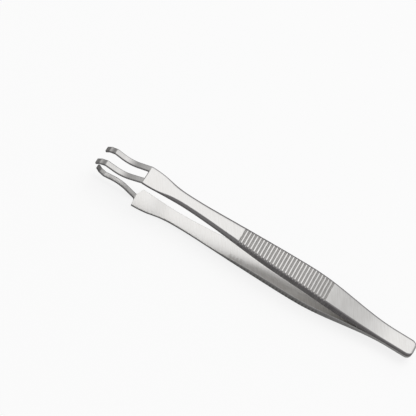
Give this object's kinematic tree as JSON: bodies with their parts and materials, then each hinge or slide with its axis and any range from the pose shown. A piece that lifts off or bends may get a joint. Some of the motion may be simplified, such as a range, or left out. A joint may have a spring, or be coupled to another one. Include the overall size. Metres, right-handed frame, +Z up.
{
  "type": "sterilization forceps",
  "caption": "Flat steel spring forceps, welded at the heel, with ribbed finger grips and S-bent hooked prongs that interleave to lift sterilized items.",
  "frame": {"origin": "centre of the bounding box in plan, on the plane the forceps lie on", "axes": "+X from the prongs to the heel, +Y across the arms, +Z up through the upper, two-prong arm"},
  "size_m": [0.1448, 0.0106, 0.0175],
  "materials": {
    "brushed_steel": "satin stainless steel, brushed across the arms, with ground edge facets"
  },
  "bodies": {
    "root": {"two_prong_arm": "brushed_steel", "one_prong_arm": "brushed_steel"}
  },
  "joints": []
}
